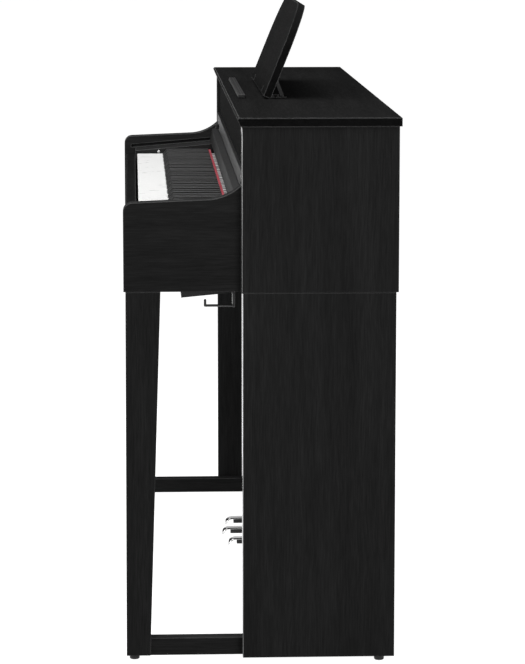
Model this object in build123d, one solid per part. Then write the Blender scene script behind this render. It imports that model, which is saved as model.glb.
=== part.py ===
from build123d import *
import os
from math import asin, cos, radians, sin, tan

# Console digital piano: X runs from the bass end to the treble end, Y from the
# player to the back, Z up. The origin is on the floor, under the middle of the piano.

# overall sizes
width = 1461
depth = 465
height = 927

# boards and panels
lid_thickness = 15
lid_front = 191
lid_overhang = 2.5
lid_nose_rake = 5
arris = 1.2
panel_thickness = 24
case_height = 278
case_front = 198
case_rear_inset = 4
stand_front = 199
stand_rear_inset = 8
floor_gap = 8

# arms, legs and rails
arm_inset = 21
arm_thickness = 30
arm_front_height = 150
arm_rise = 5
arm_sweep_rise = 28.7
arm_sweep_start = 141
arm_corner = 16
leg_top = (3.3, 62.1)
leg_bottom = (1.5, 42)
rail_height = 30

# keyboard
white_pitch = 23.5
white_count = 52
key_gap = 1
key_front = 27
key_visible_length = 150
key_length = 205
key_top_drop = 175
white_thickness = 20
white_head = 52
black_width = 11
black_rise = 12
black_nose = 9
black_clearance = 1
key_edge = 0.8
key_dip_gap = 10
first_jointed_white = 23
jointed_whites = 5
cheek_gap = 2
pivot_drop = 14
pivot_radius = 1.5
running_gap = 0.05

# sliding key cover
track_slope = 4.8
track_height = 141
track_depth = 3
cover_thickness = 6
cover_length = 168
slide_gap = 0.4
lip_front = 182
lip_height = 24
lip_top_run = 11
lip_top_rise = 5
move_gap = 1

# front, back and bottom boards
bed_thickness = 18
slip_front = 4
slip_thickness = 19
slip_drop = 6
front_board_set_back = 6
front_board_thickness = 12
control_height = 45
control_thickness = 3
control_lift = 12
back_thickness = 9
lower_board_height = 330
lower_board_set_back = (110, 92)
tray_front = 98
tray_drop = 20
tray_slope = 5.3
tray_wall = 3
tray_rear = 270

# music rest
rest_width = 550
rest_length = 177.5
rest_thickness = 14
rest_lean = 68
rest_corner = 90
rest_pivot_back = 265.2
rest_pivot_lift = 5
rest_pivot_inset = 3.5
hinge_place = 170
hinge_width = 16
hinge_pin_radius = 1.5
stay_place = 238
stay_reach = 34.5
stay_thickness = 3
stay_slot = 5
stay_inset = 1
stay_end_radius = 3.2
stay_pin_radius = 1.2
stay_pin_half = 6
base_half = 7
base_length = 30
ledge_width = 506
ledge_front = 209
ledge_size = (13, 7)

# pedals
pedal_spacing = 93
pedal_width = 24
pedal_tip = 194
pedal_middle_reach = 9
pedal_top = 78.5
pedal_thickness = 8.5
pedal_droop = 14
pedal_axle_back = 302
pedal_axle_radius = 4
pedal_drop = 9
box_width = 300
box_front = 234
box_height = 74
box_floor = 40
box_wall = 4

# small pieces
hanger_inset = 19
hanger_plate = (24, 4)
hanger_drop = 30
hanger_rod = 2.2
hanger_tip = 138
hanger_root = 184
socket_bore = 3.3
socket_depth = 16
screw_radius = 2
screw_gap = 0.1
glide_radius = 8.5
speaker_place = 480
speaker_radius = 62
speaker_rim = 6
grille_thickness = 2
socket_inset = (37, 117)
knob_inset = 100
button_inset = 55
button_radius = 5.8
knob_half_slot = 2
knob_room = 23

# levels and faces worked out from the sizes above
lid_under = height - lid_thickness
case_bottom = lid_under - case_height
side_outer = width / 2 - lid_overhang
side_inner = side_outer - panel_thickness
arm_outer = side_outer - arm_inset
arm_inner = arm_outer - arm_thickness
case_rear = depth - case_rear_inset
stand_rear = depth - stand_rear_inset
arm_top = case_bottom + arm_front_height
key_top = height - key_top_drop
keys_half = white_count * white_pitch / 2
cheek_inner = keys_half + cheek_gap
key_rear = key_front + key_length
black_front = key_front + white_head + black_clearance
black_rear = key_front + key_visible_length - 1
pivot_back = key_rear - 6
pivot_height = key_top - pivot_drop
bed_top = case_bottom + bed_thickness
control_bottom = case_bottom + track_height + control_lift
rest_pivot_height = height + rest_pivot_lift
pedal_axle_height = pedal_top - pedal_thickness / 2
hanger_place = arm_inner - hanger_inset
knob_place = knob_inset - side_inner
button_place = side_inner - button_inset
knob_height = control_bottom + control_height / 2


def at(distance):
    """Y of a point that lies this far behind the front of the arms."""
    return distance - depth / 2


def block(x, y, z):
    """Box between two X values, two distances back and two heights."""
    size = (x[1] - x[0], y[1] - y[0], z[1] - z[0])
    middle = ((x[0] + x[1]) / 2, at((y[0] + y[1]) / 2), (z[0] + z[1]) / 2)
    return Pos(*middle) * Box(*size)


def board(x, y, z, edge=arris):
    """Block with every edge eased."""
    body = block(x, y, z)
    return fillet(body.edges(), edge)


def outline(points):
    """Closed face in the Y-Z plane from (distance back, height) points."""
    corners = [(at(back), up) for back, up in points]
    return Plane.YZ * make_face(Polyline(*corners, close=True))


def sheet(face, x):
    """Solid between two X values from a face in the Y-Z plane."""
    return extrude(Pos(x[0], 0, 0) * face, x[1] - x[0], dir=(1, 0, 0))


def rod_x(radius, x, back, up):
    """Rod along X."""
    middle = Pos((x[0] + x[1]) / 2, at(back), up)
    return middle * Rot(0, 90, 0) * Cylinder(radius, x[1] - x[0])


def rod_y(radius, x, back, up):
    """Rod along Y between two distances back."""
    middle = Pos(x, at((back[0] + back[1]) / 2), up)
    return middle * Rot(90, 0, 0) * Cylinder(radius, back[1] - back[0])


def rod_z(radius, x, back, z):
    """Upright rod."""
    return Pos(x, at(back), (z[0] + z[1]) / 2) * Cylinder(radius, z[1] - z[0])


def mirrored(body):
    """Bass-side twin of a treble-side piece."""
    return mirror(body, about=Plane.YZ)


def save(name, *bodies):
    """Write one named piece, or a group of like solids, to its own file."""
    solids = [solid for body in bodies for solid in body.solids()]
    shape = solids[0] if len(solids) == 1 else Compound(children=solids)
    export_step(shape, f"parts/{name}.step")


def save_pair(name, body):
    save(name + "_right", body)
    save(name + "_left", mirrored(body))


def track_at(back):
    """Height of the underside of the key cover's track."""
    return case_bottom + track_height + (back - case_front) * tan(radians(track_slope))


# --- lid and case ---------------------------------------------------------

def lid():
    face = outline([
        (lid_front + lid_nose_rake, lid_under), (lid_front, height - 3), (lid_front + 2.5, height),
        (depth - arris, height), (depth, height - arris), (depth, lid_under)])
    body = sheet(face, (-width / 2, width / 2))
    ends = body.faces().filter_by(Axis.X).edges()
    return chamfer(ends.filter_by(lambda edge: edge.center().Z > height - 0.5), arris)


def upper_side():
    return board((side_inner, side_outer), (case_front, case_rear), (case_bottom, lid_under))


def stand_side():
    return board((side_inner, side_outer), (stand_front, stand_rear), (floor_gap, case_bottom))


def arm():
    sweep_start = (arm_sweep_start, arm_top + arm_rise)
    points = [
        (0, case_bottom), (0, arm_top - arm_corner), (arm_corner, arm_top), sweep_start,
        (case_front, arm_top + arm_sweep_rise), (case_front, case_bottom)]
    p = [(at(back), up) for back, up in points]
    straight = (p[3][0] - p[2][0], p[3][1] - p[2][1])
    edges = [
        Line(p[0], p[1]), TangentArc(p[1], p[2], tangent=(0, 1)), Line(p[2], p[3]),
        TangentArc(p[3], p[4], tangent=straight), Line(p[4], p[5]), Line(p[5], p[0])]
    body = sheet(Plane.YZ * make_face(edges), (arm_inner, arm_outer))
    body = fillet(body.faces().filter_by(Axis.X).edges(), arris)
    return body - cover_groove(slip_front + slip_thickness - 9, case_front + 1, arm_inner)


def cover_groove(front, rear, face_x):
    """Slot that the edge of the key cover runs in."""
    high = cover_thickness + 2 * slide_gap
    points = [
        (front, track_at(front)), (rear, track_at(rear)),
        (rear, track_at(rear) + high), (front, track_at(front) + high)]
    return sheet(outline(points), (face_x - 1, face_x + track_depth + slide_gap))


def cover_rail():
    rear = case_rear - back_thickness - 40
    low = track_at(case_front) - 12
    body = block((arm_inner, side_inner), (case_front, rear), (low, low + 52))
    body -= block((arm_inner - 1, side_inner + 1), (case_front - 1, case_front + front_board_set_back + 1),
                  (control_bottom - move_gap, low + 60))
    return body - cover_groove(case_front - 1, rear + 1, arm_inner)


def cheek_block():
    front = slip_front + slip_thickness
    under = 2
    points = [
        (front, bed_top), (front, track_at(front) - under),
        (case_front, track_at(case_front) - under), (case_front, bed_top)]
    body = sheet(outline(points), (cheek_inner, arm_inner))
    return fillet(body.edges().filter_by(Axis.X).sort_by(Axis.Z)[-2:], 1)


def key_bed():
    front = slip_front + slip_thickness
    rear = case_rear - back_thickness
    body = block((-arm_inner, arm_inner), (front, case_front), (case_bottom, bed_top))
    body += block((-side_inner, side_inner), (case_front, rear), (case_bottom, bed_top))
    for x in (-speaker_place, speaker_place):
        body -= rod_z(speaker_radius - speaker_rim, x, speaker_back(), (case_bottom - 1, bed_top + 1))
    return body


def key_slip():
    z = (case_bottom, key_top - slip_drop)
    return board((-arm_inner, arm_inner), (slip_front, slip_front + slip_thickness), z, 2)


def front_board():
    front = case_front + front_board_set_back
    z = (control_bottom + control_height - control_lift, lid_under)
    return block((-side_inner, side_inner), (front, front + front_board_thickness), z)


def control_panel():
    front = case_front + 1
    top = control_bottom + control_height
    face = (-side_inner, side_inner)
    plate = block(face, (front, front + control_thickness), (control_bottom, top))
    flange = block(face, (front, case_front + front_board_set_back), (top - control_thickness, top))
    body = plate + flange
    body = fillet(body.edges().filter_by(Axis.X).sort_by(Axis.Y)[:2], 1)
    through = (front - 1, front + 9)
    slot = (knob_height - knob_half_slot, knob_height + knob_half_slot)
    body -= block((knob_place - knob_room, knob_place + knob_room), through, slot)
    return body - rod_y(button_radius + slide_gap, button_place, through, knob_height)


def volume_knob():
    front = case_front + 1
    half = knob_half_slot - slide_gap
    stem = block((knob_place - 5, knob_place + 5), (front - 0.5, front + 8),
                 (knob_height - half, knob_height + half))
    cap = board((knob_place - 6, knob_place + 6), (front - 6.5, front - 0.5),
                (knob_height - 5, knob_height + 5), 1)
    return stem + cap


def power_button():
    front = case_front + 1
    body = rod_y(button_radius, button_place, (front - 1.8, front + 5), knob_height)
    return fillet(body.edges().sort_by(Axis.Y)[0], 0.8)


def back_board():
    y = (case_rear - back_thickness, case_rear)
    body = block((-side_inner, side_inner), y, (case_bottom, lid_under))
    for x, up in back_screw_places():
        body -= rod_y(screw_radius + screw_gap, x, (y[0] - 1, y[1] + 1), up)
    return body - block(*inlet_hole())


def back_screw_places():
    """Centres of the screws round the back board, as (X, height)."""
    along = [side_inner * share for share in (-0.94, -0.47, 0, 0.47, 0.94)]
    return [(x, up) for x in along for up in (case_bottom + 22, lid_under - 22)]


def assembly_screws():
    """Pan-head screws of the back board."""
    face = case_rear
    bodies = []
    for x, up in back_screw_places():
        head = rod_y(4, x, (face, face + 2.4), up)
        head = fillet(head.edges().sort_by(Axis.Y)[-1], 1.2)
        head -= block((x - 0.5, x + 0.5), (face + 1.2, face + 4), (up - 2.2, up + 2.2))
        head -= block((x - 2.2, x + 2.2), (face + 1.2, face + 4), (up - 0.5, up + 0.5))
        bodies.append(head + rod_y(screw_radius, x, (face - back_thickness, face), up))
    return bodies


def inlet_hole():
    low = case_bottom + 70
    return (-574, -546), (case_rear - back_thickness - 1, case_rear + 1), (low, low + 20)


def mains_inlet():
    """Two-blade appliance inlet set in the back board."""
    x, y, z = inlet_hole()
    inner = case_rear - 24
    shell = block(x, (inner, case_rear), z)
    hollow = block((x[0] + 2, x[1] - 2), (inner + 3, case_rear + 1), (z[0] + 2, z[1] - 2))
    flange = block((x[0] - 4, x[1] + 4), (case_rear, case_rear + 1.6), (z[0] - 3, z[1] + 3))
    body = shell + flange - hollow
    middle = (z[0] + z[1]) / 2
    for offset in (-5, 5):
        pin_x = (x[0] + x[1]) / 2 + offset
        body += rod_y(1.2, pin_x, (inner + 2, case_rear - 5), middle)
    return body


def stand_back_board():
    y = tuple(stand_rear - set_back for set_back in lower_board_set_back)
    low = floor_gap + rail_height
    return board((-side_inner, side_inner), y, (low, low + lower_board_height))


# --- legs and feet --------------------------------------------------------

def leg_rear_at(up):
    share = (up - floor_gap) / (case_bottom - floor_gap)
    return leg_bottom[1] + share * (leg_top[1] - leg_bottom[1])


def front_leg():
    points = [
        (leg_bottom[0], floor_gap), (leg_top[0], case_bottom),
        (leg_top[1], case_bottom), (leg_bottom[1], floor_gap)]
    body = sheet(outline(points), (arm_inner, arm_outer))
    return fillet(body.edges(), arris)


def floor_rail():
    top = floor_gap + rail_height
    points = [
        (leg_rear_at(floor_gap), floor_gap), (leg_rear_at(top), top),
        (stand_rear, top), (stand_rear, floor_gap)]
    body = sheet(outline(points), (arm_inner, side_inner))
    return fillet(body.edges().filter_by(Axis.Y), arris)


def glides():
    places = [(arm_inner + arm_thickness / 2, 15), (side_outer - panel_thickness / 2, stand_rear - 25)]
    bodies = []
    for x, back in places:
        foot = rod_z(glide_radius, x, back, (0, floor_gap))
        foot = chamfer(foot.edges().sort_by(Axis.Z)[0], 1.5)
        bodies += [foot, mirrored(foot)]
    return bodies


# --- keyboard -------------------------------------------------------------

def white_left(number):
    """X of the bass side of a white key's space; key 0 is the lowest A."""
    return -keys_half + number * white_pitch


def black_centre(number):
    """X of the black key after white key number, or None where there is none."""
    shift = {0: 4.5, 2: -3.4, 3: 3.4, 5: -4.5, 6: 0}.get(number % 7)
    if shift is None or number < 0 or number >= white_count - 1:
        return None
    return white_left(number + 1) + shift


def white_key(number):
    """White key: full-width head, and a tail that passes its black neighbours."""
    left = white_left(number) + key_gap / 2
    right = white_left(number + 1) - key_gap / 2
    room = black_width / 2 + black_clearance
    below, above = black_centre(number - 1), black_centre(number)
    tail_left = left if below is None else below + room
    tail_right = right if above is None else above - room
    head_rear = key_front + white_head
    z = (key_top - white_thickness, key_top)
    body = block((left, right), (key_front, head_rear), z)
    body += block((tail_left, tail_right), (head_rear, key_rear), z)
    rim = body.faces().sort_by(Axis.Z)[-1].edges()
    body = fillet(rim.filter_by(lambda edge: edge.center().Y < at(key_rear) - 1), key_edge)
    return body - key_bore()


def black_key(number):
    """Black key with a sloping nose and eased top."""
    x = black_centre(number)
    top = key_top + black_rise
    half = black_width / 2
    points = [
        (black_front, key_top - white_thickness + 2), (black_front, key_top + 1),
        (black_front + black_nose, top), (black_rear, top), (black_rear, key_top),
        (key_rear, key_top), (key_rear, key_top - white_thickness + 2)]
    body = sheet(outline(points), (x - half, x + half))
    top_face = body.faces().filter_by(lambda face: face.center().Z > key_top + 3)
    long_edges = top_face.edges().filter_by(lambda edge: abs(edge.center().X - x) > half - 0.1)
    body = fillet(long_edges.filter_by(lambda edge: edge.center().Z > key_top + 3), 1.4)
    return body - key_bore()


def key_bore():
    return rod_x(pivot_radius + running_gap, (-keys_half, keys_half), pivot_back, pivot_height)


def is_jointed(number):
    return first_jointed_white <= number < first_jointed_white + jointed_whites


def key_name(kind, number):
    return f"{kind}_key_{'abcdefg'[number % 7]}" + ("_sharp" if kind == "black" else "")


def save_keys():
    fixed_whites = []
    fixed_blacks = []
    for number in range(white_count):
        jointed = is_jointed(number)
        white = white_key(number)
        if jointed:
            save(key_name("white", number), white)
        else:
            fixed_whites.append(white)
        if black_centre(number) is None:
            continue
        if jointed and is_jointed(number + 1):
            save(key_name("black", number), black_key(number))
        else:
            fixed_blacks.append(black_key(number))
    save("white_keys", *fixed_whites)
    save("black_keys", *fixed_blacks)


def key_pivot_rod():
    return rod_x(pivot_radius, (-keys_half, keys_half), pivot_back, pivot_height)


def key_frame():
    """Chassis of the key action: base, front guide rail, rear rail and end brackets."""
    half = keys_half
    base = block((-half, half), (key_front + 8, key_rear + 22), (bed_top, bed_top + 4))
    guide = block((-half, half), (key_front + 16, key_front + 34), (bed_top + 4, stop_felt_low()))
    rear = block((-half, half), (key_rear + 8, key_rear + 14), (bed_top + 4, key_top - 6))
    body = base + guide + rear
    for side in (-1, 1):
        end = sorted((side * half, side * (half + cheek_gap)))
        body += block(end, (key_rear - 20, key_rear + 14), (bed_top, key_top - 4))
    return body - rod_x(pivot_radius, (-half - 5, half + 5), pivot_back, pivot_height)


def stop_felt_low():
    return key_top - white_thickness - key_dip_gap - 5


def stop_felt():
    low = stop_felt_low()
    return block((-keys_half, keys_half), (key_front + 17, key_front + 33), (low, low + 4))


def sensor_strip():
    """Circuit board with the key contacts, on three ribs."""
    y = (key_front + 95, key_front + 125)
    z = key_top - white_thickness - 20
    body = block((-keys_half + 2, keys_half - 2), y, (z, z + 2))
    for x in (-keys_half * 0.6, 0, keys_half * 0.6):
        body += block((x - 3, x + 3), (y[0] + 10, y[0] + 20), (bed_top + 4, z))
    return body


def felt_strip():
    back = key_front + key_visible_length
    body = block((-cheek_inner, cheek_inner), (back, back + 5), (key_top + 0.6, key_top + 8))
    return fillet(body.edges().filter_by(Axis.X).sort_by(Axis.Z)[-2:], 2)


# --- sliding key cover ----------------------------------------------------

def key_cover():
    """Cover plate whose two edges run in the sloping tracks."""
    front = lip_front + lip_top_run + 5
    rear = front + cover_length
    low = [track_at(front) + slide_gap, track_at(rear) + slide_gap]
    points = [
        (front, low[0]), (rear, low[1]),
        (rear, low[1] + cover_thickness), (front, low[0] + cover_thickness)]
    half = arm_inner + track_depth
    return sheet(outline(points), (-half, half))


def key_cover_lip():
    """Grip rail along the front of the cover."""
    low = track_at(lip_front) + 0.3
    rear = lip_front + lip_top_run + 5
    points = [
        (lip_front, low), (lip_front + 5, low + lip_height),
        (rear, low + lip_height + lip_top_rise), (rear, low)]
    body = sheet(outline(points), (-arm_inner + move_gap, arm_inner - move_gap))
    front_edges = body.edges().filter_by(Axis.X).sort_by(Axis.Y)[:2]
    return fillet(front_edges, 1.5)


# --- music rest -----------------------------------------------------------

def on_rest(body):
    """Stand a piece up that was made flat, hinge axis on X at the origin."""
    return Pos(0, at(rest_pivot_back), rest_pivot_height) * Rot(rest_lean, 0, 0) * body


def stay_top():
    """Distance back and height of the stay's upper pivot."""
    angle = radians(rest_lean) + asin(stay_inset / stay_reach)
    return (rest_pivot_back + stay_reach * cos(angle), rest_pivot_height + stay_reach * sin(angle))


def music_rest():
    half = rest_width / 2
    low = -rest_pivot_inset
    middle = Pos(0, low + rest_length / 2, low + rest_thickness / 2)
    body = middle * Box(rest_width, rest_length, rest_thickness)
    corners = body.edges().filter_by(Axis.Z).sort_by(Axis.Y)[-2:]
    body = fillet(corners, rest_corner)
    body = fillet(body.edges().filter_by(Axis.X).sort_by(Axis.Y)[:2].sort_by(Axis.Z)[:1], 3)
    front = body.faces().sort_by(Axis.Z)[-1].edges()
    body = fillet(front, arris)
    for x in (-hinge_place, hinge_place):
        notch = Pos(x, 0, low + rest_thickness / 2) * Box(hinge_width + 2 * move_gap, 18, rest_thickness + 2)
        pin = Pos(x, 0, 0) * Rot(0, 90, 0)
        body -= notch
        body -= pin * Cylinder(hinge_pin_radius + running_gap, hinge_width + 22)
    for x in (-stay_place, stay_place):
        along = (stay_reach**2 - stay_inset**2)**0.5
        body -= Pos(x, stay_reach + 12, low + 4) * Box(stay_slot, 96, 9)
        pocket_width = 2 * (base_half + move_gap)
        body -= Pos(x, base_length / 2 + 3, low) * Box(pocket_width, base_length + 6, 5)
        pin = Pos(x, along, stay_inset) * Rot(0, 90, 0)
        body -= pin * Cylinder(stay_pin_radius + running_gap, 2 * stay_pin_half + move_gap)
    return on_rest(body)


def rest_hinges():
    """Two hinge leaves on the lid, each with its knuckle and pin."""
    bodies = []
    for x in (-hinge_place, hinge_place):
        half = hinge_width / 2
        leaf = block((x - half, x + half), (rest_pivot_back - 2, rest_pivot_back + 22), (height, height + 1.2))
        web = block((x - half, x + half), (rest_pivot_back - 2, rest_pivot_back + 2),
                    (height + 1, rest_pivot_height))
        knuckle = rod_x(3.2, (x - half, x + half), rest_pivot_back, rest_pivot_height)
        pin = rod_x(hinge_pin_radius, (x - half - 10, x + half + 10), rest_pivot_back, rest_pivot_height)
        bodies.append(leaf + web + knuckle + pin)
    return bodies


def stay():
    """Folding stay: a tapered link from its pin in the rest down to its foot on the lid."""
    top = stay_top()
    foot = (2 * top[0] - rest_pivot_back, rest_pivot_height)
    x = (stay_place - stay_thickness / 2, stay_place + stay_thickness / 2)
    across = (stay_end_radius * (top[1] - foot[1]) / stay_reach,
              stay_end_radius * (foot[0] - top[0]) / stay_reach)
    points = [
        (top[0] + across[0], top[1] + across[1]), (foot[0] + across[0], foot[1] + across[1]),
        (foot[0] - across[0], foot[1] - across[1]), (top[0] - across[0], top[1] - across[1])]
    body = sheet(outline(points), x)
    for end in (top, foot):
        body += rod_x(stay_end_radius, x, *end)
    return body + rod_x(stay_pin_radius, (stay_place - stay_pin_half, stay_place + stay_pin_half), *top)


def stay_bases():
    """Notched base plates on the lid under the stays."""
    bodies = []
    for x in (-stay_place, stay_place):
        front = rest_pivot_back + 3
        body = block((x - base_half, x + base_half), (front, front + base_length), (height, height + 1.2))
        for step in range(3):
            back = front + 3 + 9 * step
            for side in (-1, 1):
                edge = sorted((x + side * 4.5, x + side * 6.5))
                body += block(edge, (back, back + 4), (height + 1.2, height + 3.4))
        bodies.append(body)
    return bodies


def music_ledge():
    half = ledge_width / 2
    z = (height, height + ledge_size[1])
    return board((-half, half), (ledge_front, ledge_front + ledge_size[0]), z, 1.5)


# --- pedals ---------------------------------------------------------------

def pedal(x, tip):
    """Chromed pedal: flat lever with a drooping round nose, bored for the axle."""
    top, low = pedal_top, pedal_top - pedal_thickness
    tail = pedal_axle_back + 12
    points = [
        (tip, top - pedal_droop - 4), (tip + 1, top - pedal_droop), (tip + 6, top - 8),
        (tip + 14, top - 3.5), (tip + 26, top - 1), (tip + 40, top), (tail, top),
        (tail, low), (tip + 34, low), (tip + 20, low - 3), (tip + 10, low - 8), (tip + 4, low - 13)]
    half = pedal_width / 2
    body = sheet(outline(points), (x - half, x + half))
    nose = rod_z(half, x, tip + half, (0, top + 10))
    shank = block((x - half, x + half), (tip + half, tail), (0, top + 10))
    body = body & (nose + shank)
    bore = rod_x(pedal_axle_radius + running_gap, (x - 20, x + 20), pedal_axle_back, pedal_axle_height)
    return body - bore


def pedal_box():
    """Hollow housing, open at the back, with a slot for each pedal and two axle brackets."""
    half = box_width / 2
    rear = stand_rear - lower_board_set_back[0]
    x, z = (-half, half), (box_floor, box_floor + box_height)
    body = fillet(block(x, (box_front, rear), z).edges().sort_by(Axis.Y)[:4], 2)
    body -= block((x[0] + box_wall, x[1] - box_wall), (box_front + box_wall, rear + 1),
                  (z[0] + box_wall, z[1] - box_wall))
    slot_low = pedal_top - pedal_thickness - pedal_drop - 2
    for place in pedal_places():
        slot = (place - pedal_width / 2 - move_gap, place + pedal_width / 2 + move_gap)
        body -= block(slot, (box_front - 1, box_front + box_wall + 1), (slot_low, pedal_top + 1.5))
    for side in (-1, 1):
        bracket = sorted((side * (pedal_spacing + 22), side * (pedal_spacing + 28)))
        body += block(bracket, (pedal_axle_back - 10, pedal_axle_back + 10), (z[0] + box_wall, pedal_top + 4))
    reach = pedal_spacing + 28
    return body - rod_x(pedal_axle_radius, (-reach, reach), pedal_axle_back, pedal_axle_height)


def pedal_places():
    return (-pedal_spacing, 0, pedal_spacing)


def pedal_axle():
    reach = pedal_spacing + 28
    return rod_x(pedal_axle_radius, (-reach, reach), pedal_axle_back, pedal_axle_height)


# --- under the key bed and inside the case --------------------------------

def under_tray():
    """Shallow sloping cover under the key bed."""
    half = hanger_place - hanger_plate[0] / 2 - 14
    rise = tan(radians(tray_slope))

    def low(back):
        return case_bottom - tray_drop + (back - tray_front) * rise

    outer = outline([
        (tray_front, case_bottom), (tray_front, low(tray_front)),
        (tray_rear, min(low(tray_rear), case_bottom - tray_wall)), (tray_rear, case_bottom)])
    inner_rear = tray_rear - 30
    inner = outline([
        (tray_front + tray_wall, case_bottom + 1), (tray_front + tray_wall, low(tray_front) + tray_wall),
        (inner_rear, min(low(inner_rear) + tray_wall, case_bottom - 1)), (inner_rear, case_bottom + 1)])
    shell = sheet(outer, (-half, half))
    return shell - sheet(inner, (-half + tray_wall, half - tray_wall))


def headphone_hanger():
    """Bracket plate under the case with a forward rod and an upturned tip."""
    low = case_bottom - hanger_drop
    middle = hanger_place
    half = hanger_plate[0] / 2
    plate = board((middle - half, middle + half), (hanger_root, hanger_root + hanger_plate[1]),
                  (low - 2, case_bottom), 1.5)
    arm_path = rod_y(hanger_rod, middle, (hanger_tip, hanger_root + 1), low)
    tip = rod_z(hanger_rod, middle, hanger_tip, (low, low + 9))
    elbow = Pos(middle, at(hanger_tip), low) * Sphere(hanger_rod)
    crown = Pos(middle, at(hanger_tip), low + 9) * Sphere(hanger_rod)
    return plate + arm_path + tip + elbow + crown


def phones_socket():
    """Small housing with two headphone sockets that face the player."""
    x = (arm_inner - socket_inset[1], arm_inner - socket_inset[0])
    y = (14, 56)
    z = (case_bottom - 26, case_bottom)
    body = board(x, y, z, 1.5)
    for place in socket_places():
        body -= rod_y(socket_bore, place, (y[0] - 1, y[0] + socket_depth), (z[0] + z[1]) / 2)
    return body


def socket_places():
    middle = arm_inner - sum(socket_inset) / 2
    return (middle - 18, middle + 18)


def speaker_back():
    return case_rear - back_thickness - speaker_radius - 30


def speakers():
    """Two round loudspeakers that face down through the key bed, each over its flat grille."""
    bodies = []
    for x in (-speaker_place, speaker_place):
        basket = rod_z(speaker_radius, x, speaker_back(), (bed_top, bed_top + 4))
        centre = Pos(x, at(speaker_back()), bed_top + 4 + 13)
        cone = centre * Cone(speaker_radius - 8, 24, 26)
        magnet = rod_z(30, x, speaker_back(), (bed_top + 30, bed_top + 48))
        hollow = Pos(x, at(speaker_back()), bed_top + 11) * Cone(speaker_radius - 10, 20, 22.2)
        grille_radius = speaker_radius - speaker_rim - running_gap
        grille = rod_z(grille_radius, x, speaker_back(), (case_bottom, case_bottom + grille_thickness))
        bodies += [basket + cone + magnet - hollow, grille]
    return bodies


def main_board():
    x, y = (150, 330), (case_rear - 141, case_rear - 31)
    body = block(x, y, (bed_top + 8, bed_top + 10))
    for post_x in (x[0] + 8, x[1] - 8):
        for post_y in (y[0] + 8, y[1] - 8):
            body += rod_z(3, post_x, post_y, (bed_top, bed_top + 8))
    body += block((x[0] + 40, x[0] + 75), (y[0] + 30, y[0] + 65), (bed_top + 10, bed_top + 13))
    return body + block((x[0] + 100, x[0] + 160), (y[0] + 40, y[0] + 60), (bed_top + 10, bed_top + 22))


def power_supply():
    return board((-330, -180), (case_rear - 131, case_rear - 31), (bed_top, bed_top + 42), 2)


def main():
    os.makedirs("parts", exist_ok=True)
    pairs = {
        "upper_side": upper_side, "stand_side": stand_side, "arm": arm, "cheek_block": cheek_block,
        "front_leg": front_leg, "floor_rail": floor_rail, "cover_rail": cover_rail, "stay": stay}
    for name, make in pairs.items():
        save_pair(name, make())
    singles = {
        "lid": lid, "key_bed": key_bed, "key_slip": key_slip, "front_board": front_board,
        "control_panel": control_panel, "back_board": back_board, "stand_back_board": stand_back_board,
        "felt_strip": felt_strip, "under_tray": under_tray, "headphone_hanger": headphone_hanger,
        "phones_socket": phones_socket, "music_ledge": music_ledge, "pedal_box": pedal_box,
        "pedal_axle": pedal_axle, "main_board": main_board, "power_supply": power_supply,
        "key_frame": key_frame, "key_pivot_rod": key_pivot_rod, "stop_felt": stop_felt,
        "sensor_strip": sensor_strip, "mains_inlet": mains_inlet, "key_cover": key_cover,
        "key_cover_lip": key_cover_lip, "music_rest": music_rest, "volume_knob": volume_knob,
        "power_button": power_button}
    for name, make in singles.items():
        save(name, make())
    groups = {
        "glides": glides, "rest_hinges": rest_hinges, "stay_bases": stay_bases,
        "speakers": speakers, "assembly_screws": assembly_screws}
    for name, make in groups.items():
        save(name, *make())
    save("pedal_left", pedal(-pedal_spacing, pedal_tip))
    save("pedal_middle", pedal(0, pedal_tip - pedal_middle_reach))
    save("pedal_right", pedal(pedal_spacing, pedal_tip))
    save_keys()


main()
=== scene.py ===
import bpy
import bmesh
from math import cos, pi, radians, sin
from mathutils import Matrix, Vector


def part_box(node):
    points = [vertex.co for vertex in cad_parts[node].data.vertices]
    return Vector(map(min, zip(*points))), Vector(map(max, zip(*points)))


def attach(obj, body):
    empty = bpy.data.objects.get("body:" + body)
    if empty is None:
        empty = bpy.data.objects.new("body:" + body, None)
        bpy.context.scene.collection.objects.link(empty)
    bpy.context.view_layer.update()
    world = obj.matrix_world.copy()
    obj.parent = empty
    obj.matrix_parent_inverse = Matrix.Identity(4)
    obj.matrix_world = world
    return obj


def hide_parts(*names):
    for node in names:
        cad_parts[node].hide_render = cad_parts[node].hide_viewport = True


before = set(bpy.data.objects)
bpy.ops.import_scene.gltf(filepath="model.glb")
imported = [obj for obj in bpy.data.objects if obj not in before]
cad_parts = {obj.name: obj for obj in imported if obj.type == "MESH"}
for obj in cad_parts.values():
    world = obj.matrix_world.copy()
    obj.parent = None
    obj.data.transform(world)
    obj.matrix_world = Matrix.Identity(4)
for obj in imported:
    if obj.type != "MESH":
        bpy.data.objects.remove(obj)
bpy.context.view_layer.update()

MM = 0.001


# --- camera, floor and lights ---------------------------------------------

def put(name, data):
    """A new object in the scene, at the origin."""
    made = bpy.data.objects.new(name, data)
    bpy.context.scene.collection.objects.link(made)
    return made


def set_camera():
    yaw, pitch = 0.0444, 0.1478
    aim = Vector((-cos(yaw) * cos(pitch), sin(yaw) * cos(pitch), -sin(pitch)))
    lens = bpy.data.cameras.new("camera")
    lens.sensor_width = 36
    lens.lens = 158.6
    lens.clip_end = 500
    camera = put("camera", lens)
    camera.location = (5.5665, -0.2152, 1.2895)
    camera.rotation_mode = "QUATERNION"
    camera.rotation_quaternion = aim.to_track_quat("-Z", "Y")
    bpy.context.scene.camera = camera


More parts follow.
